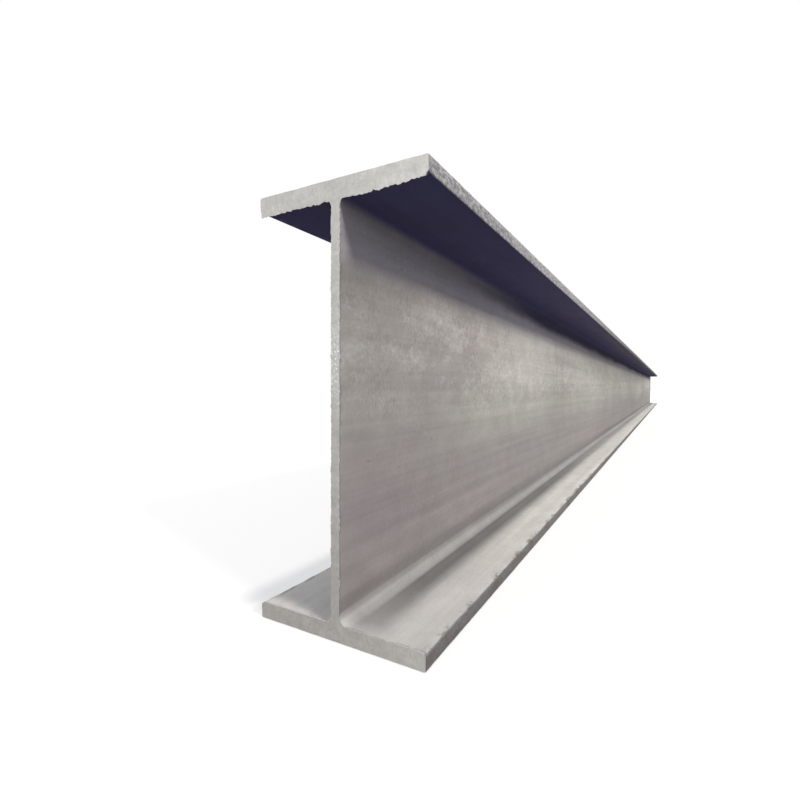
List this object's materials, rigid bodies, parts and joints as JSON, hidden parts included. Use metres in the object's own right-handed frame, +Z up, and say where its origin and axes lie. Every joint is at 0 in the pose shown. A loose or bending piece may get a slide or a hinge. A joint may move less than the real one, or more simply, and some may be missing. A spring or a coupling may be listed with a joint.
{
  "type": "steel h-beam",
  "caption": "Hot-rolled steel H-beam with parallel flanges, a thin deep web and small root fillets, cut square at both ends with plain undrilled faces.",
  "frame": {"origin": "centre of the underside of the bottom flange, midway along the length", "axes": "+Y along the length, +X across the flanges, +Z up through the web"},
  "size_m": [0.2, 8, 0.45],
  "materials": {
    "mill_steel": "hot-rolled mill scale, warm grey, semi-matt, with rough rolled edges and flame-cut ends"
  },
  "bodies": {
    "root": {"h_beam": "mill_steel"}
  },
  "joints": []
}
